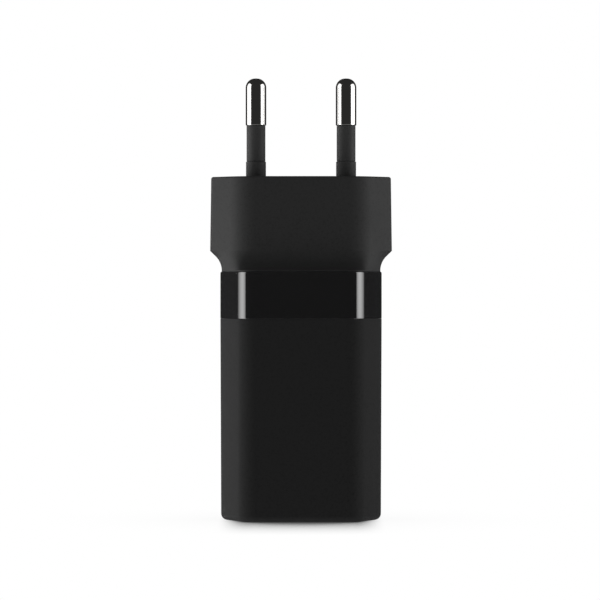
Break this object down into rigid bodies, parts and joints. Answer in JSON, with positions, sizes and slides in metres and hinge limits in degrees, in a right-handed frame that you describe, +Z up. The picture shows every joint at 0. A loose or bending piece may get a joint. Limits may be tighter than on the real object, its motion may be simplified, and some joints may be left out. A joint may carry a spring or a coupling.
{
  "type": "usb wall charger",
  "caption": "Slim USB wall charger: rounded case with a glossy band, and a flat six-sided two-pin plug head that pulls off its end.",
  "frame": {"origin": "centre of the flat bottom face that the charger stands on", "axes": "+Z up along the mains pins, +X across the width towards the right pin, -Y out of the front face"},
  "size_m": [0.0354, 0.022, 0.0856],
  "materials": {
    "case_plastic": "fine matte texture, near black",
    "head_plastic": "fine matte texture, near black",
    "band_plastic": "polished, near black",
    "inlet_plastic": "smooth moulded, near black",
    "sleeve_plastic": "smooth moulded, near black",
    "carrier_plastic": "smooth moulded, near black",
    "pin_metal": "bright nickel plate",
    "contact_metal": "tinned spring bronze",
    "spring_steel": "spring temper strip",
    "socket_steel": "nickel-plated folded sheet",
    "tongue_plastic": "moulded insulator, black",
    "contact_gold": "flash gold plate",
    "board_laminate": "green solder mask",
    "ferrite": "sintered ferrite, dark grey",
    "bobbin_plastic": "moulded bobbin, dark",
    "copper_wire": "enamelled copper winding",
    "winding_tape": "yellow polyester tape",
    "can_aluminium": "drawn can",
    "can_sleeve": "shrunk sleeve, dark blue",
    "bung_rubber": "pressed rubber",
    "fuse_plastic": "moulded box, brown",
    "disc_coating": "dipped epoxy, blue",
    "chip_epoxy": "moulded epoxy, black",
    "chip_ceramic": "fired ceramic, buff",
    "solder": "bright solder",
    "sheet_plastic": "thin insulating film"
  },
  "bodies": {
    "charger": {"main_case": "case_plastic", "gloss_band": "band_plastic", "inlet_block": "inlet_plastic", "retaining_springs": "spring_steel", "inlet_blade_left": "contact_metal", "inlet_blade_right": "contact_metal", "usb_shell": "socket_steel", "usb_tongue": "tongue_plastic", "usb_contacts": "contact_gold", "main_board": "board_laminate", "transformer_core": "ferrite", "transformer_bobbin": "bobbin_plastic", "transformer_winding": "copper_wire", "transformer_tape": "winding_tape", "mains_capacitor_cans": "can_aluminium", "mains_capacitor_sleeves": "can_sleeve", "mains_capacitor_bungs": "bung_rubber", "output_capacitor_cans": "can_aluminium", "output_capacitor_sleeves": "can_sleeve", "output_capacitor_bungs": "bung_rubber", "input_choke_core": "ferrite", "input_choke_winding": "copper_wire", "mains_fuse": "fuse_plastic", "safety_capacitor": "disc_coating", "insulation_sheet": "sheet_plastic", "controller_chip": "chip_epoxy", "output_chip": "chip_epoxy", "bridge_rectifier": "chip_epoxy", "small_parts": "chip_ceramic", "solder_joints": "solder"},
    "plug_head": {"head_shell": "head_plastic", "head_base": "inlet_plastic", "pin_carrier": "carrier_plastic", "mains_pin_left": "pin_metal", "mains_pin_right": "pin_metal", "pin_sleeve_left": "sleeve_plastic", "pin_sleeve_right": "sleeve_plastic", "contact_clip_left": "contact_metal", "contact_clip_right": "contact_metal"}
  },
  "joints": [
    {"name": "plug_head_slide", "type": "slide", "parent": "charger", "child": "plug_head", "axis": [0, 0, 1], "range_m": [0, 0.02]}
  ]
}
